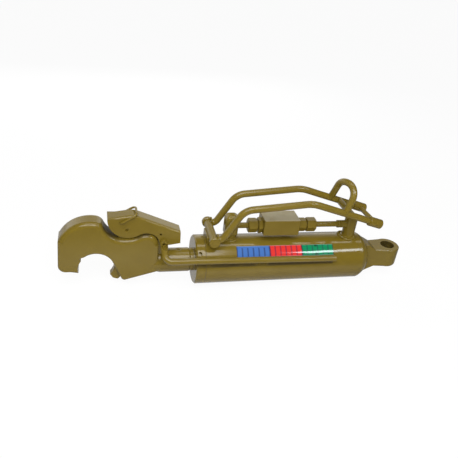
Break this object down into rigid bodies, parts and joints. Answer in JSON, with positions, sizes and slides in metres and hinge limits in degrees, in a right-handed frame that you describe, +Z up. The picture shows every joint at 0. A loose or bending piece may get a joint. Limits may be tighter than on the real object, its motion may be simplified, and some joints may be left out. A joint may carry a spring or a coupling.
{
  "type": "tractor top link",
  "caption": "Hydraulic top link with a self-latching ball hook on the rod, a knuckle on the barrel, a lock valve and a bar guard.",
  "frame": {"origin": "centre of the knuckle bore, on the cylinder's axis", "axes": "+X from the hook to the knuckle along the cylinder, +Z up along the knuckle bore, towards the valve and guard, +Y to the far side, away from the length scale"},
  "size_m": [0.6158, 0.0929, 0.197],
  "materials": {
    "olive_paint": "glossy olive paint sprayed over the whole assembly",
    "chrome_rod": "hard chrome, ground",
    "steel": "turned, oily",
    "dark_pin": "dark, thin paint",
    "spring_steel": "drawn wire",
    "seal_polyurethane": "smooth",
    "guide_ring": "matt phenolic",
    "nitrile": "smooth",
    "scale_strip": "printed film in three coloured zones"
  },
  "bodies": {
    "barrel": {"barrel_tube": "olive_paint", "gland_cap": "olive_paint", "gland_o_ring": "nitrile", "wiper_ring": "seal_polyurethane", "rod_seal": "seal_polyurethane", "gland_guide_ring": "guide_ring", "rear_cap": "olive_paint", "knuckle": "olive_paint", "front_port_post": "olive_paint", "front_elbow": "olive_paint", "front_pipe": "olive_paint", "front_tube_nut": "olive_paint", "front_adapter": "olive_paint", "valve_block": "olive_paint", "rear_adapter": "olive_paint", "rear_tube_nut": "olive_paint", "rear_pipe": "olive_paint", "rear_fitting": "olive_paint", "rear_port_post": "olive_paint", "guard_front_crossbar": "olive_paint", "guard_saddle": "olive_paint", "guard_bar_near": "olive_paint", "guard_bar_far": "olive_paint", "guard_sleeve_near": "olive_paint", "guard_sleeve_far": "olive_paint", "guard_tie_rod": "olive_paint", "guard_rear_stay": "olive_paint", "lifting_loop": "olive_paint", "length_scale": "scale_strip"},
    "rod": {"piston_rod": "chrome_rod", "piston": "steel", "piston_nut": "steel", "piston_seal": "seal_polyurethane", "piston_wear_ring": "guide_ring", "hook_body": "olive_paint", "hook_grub_screw": "dark_pin", "lever_stop_pin": "dark_pin", "indicator_rod": "olive_paint"},
    "latch": {"release_lever": "olive_paint", "latch_pawl": "olive_paint", "pawl_key_pin": "dark_pin", "pivot_pin": "dark_pin", "latch_spring": "spring_steel"},
    "bail": {"pull_bail": "olive_paint"}
  },
  "joints": [
    {"name": "rod_slide", "type": "slide", "parent": "barrel", "child": "rod", "axis": [-1, 0, 0], "range_m": [0, 0.187]},
    {"name": "latch_hinge", "type": "hinge", "parent": "rod", "child": "latch", "pos_m": [-0.486, 0, 0.068], "axis": [0, -1, 0], "range_deg": [0, 20], "stiffness_Nm_per_rad": 2.5, "springref_deg": -14.32, "deforming": ["latch_spring"]},
    {"name": "bail_hinge", "type": "hinge", "parent": "latch", "child": "bail", "pos_m": [-0.4958, 0, 0.0816], "axis": [0, -1, 0], "range_deg": [0, 105]}
  ]
}
